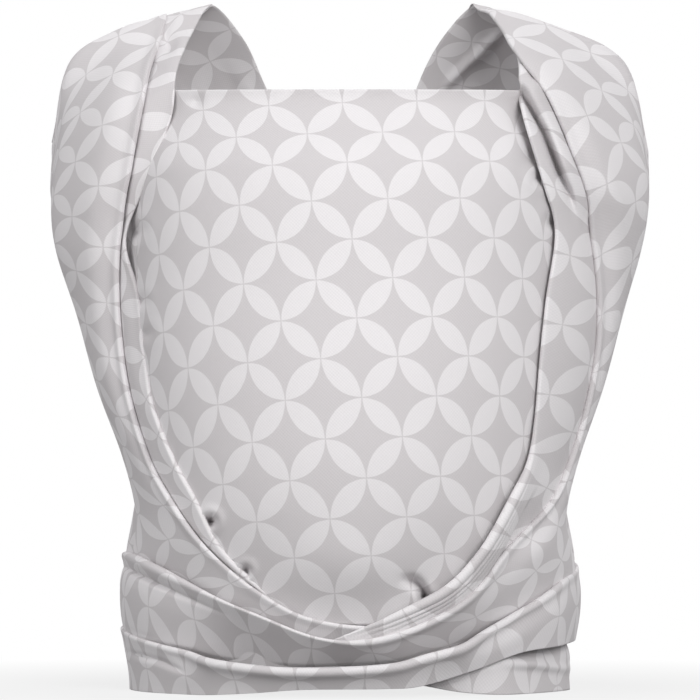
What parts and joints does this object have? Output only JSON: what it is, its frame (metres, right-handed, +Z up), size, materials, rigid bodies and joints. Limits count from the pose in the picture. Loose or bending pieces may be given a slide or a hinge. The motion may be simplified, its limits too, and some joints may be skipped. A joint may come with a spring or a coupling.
{
  "type": "baby wrap sling",
  "caption": "Long woven cotton cloth tied as a front carry: seat panel, folded shoulder straps, back passes, crossed waist turns, knot and hanging tails.",
  "frame": {"origin": "middle of the tied wrap, under it, on the plane of the lower rim of the waist turns", "axes": "+X to the right as seen from the front, +Y to the back where the knot is, +Z up"},
  "size_m": [0.4247, 0.3226, 0.4868],
  "materials": {
    "panel_cloth": "matte woven cotton with a pale petal print on grey",
    "hem_cloth": "matte woven cotton with a pale petal print on grey",
    "strap_cloth": "matte woven cotton with a pale petal print on grey",
    "back_cloth": "matte woven cotton with a pale petal print on grey",
    "knot_cloth": "matte woven cotton with a pale petal print on grey",
    "waist_cloth": "matte woven cotton with a pale petal print on grey"
  },
  "bodies": {
    "wrap": {"front_panel": "panel_cloth", "panel_top_hem": "hem_cloth", "left_wing": "back_cloth", "right_wing": "back_cloth", "left_back_pass": "back_cloth", "right_back_pass": "back_cloth", "left_strap_inner_lap": "strap_cloth", "left_strap_outer_lap": "strap_cloth", "right_strap_inner_lap": "strap_cloth", "right_strap_outer_lap": "strap_cloth", "cross_under_pass": "waist_cloth", "cross_over_pass": "waist_cloth", "right_waist_turn": "waist_cloth", "back_waist_turn": "waist_cloth", "left_waist_turn": "waist_cloth", "front_waist_turn": "waist_cloth", "left_waist_end": "waist_cloth", "right_waist_end": "waist_cloth", "knot_core": "knot_cloth", "knot_winding": "knot_cloth"},
    "left_tail": {"left_tail": "knot_cloth", "left_tail_hem": "hem_cloth"},
    "right_tail": {"right_tail": "knot_cloth", "right_tail_hem": "hem_cloth"}
  },
  "joints": [
    {"name": "left_tail_swing", "type": "hinge", "parent": "wrap", "child": "left_tail", "pos_m": [0, 0.14101, 0.08694], "axis": [1, 0, 0], "range_deg": [0, 75]},
    {"name": "right_tail_swing", "type": "hinge", "parent": "wrap", "child": "right_tail", "pos_m": [0, 0.14101, 0.08694], "axis": [1, 0, 0], "range_deg": [0, 75]}
  ]
}
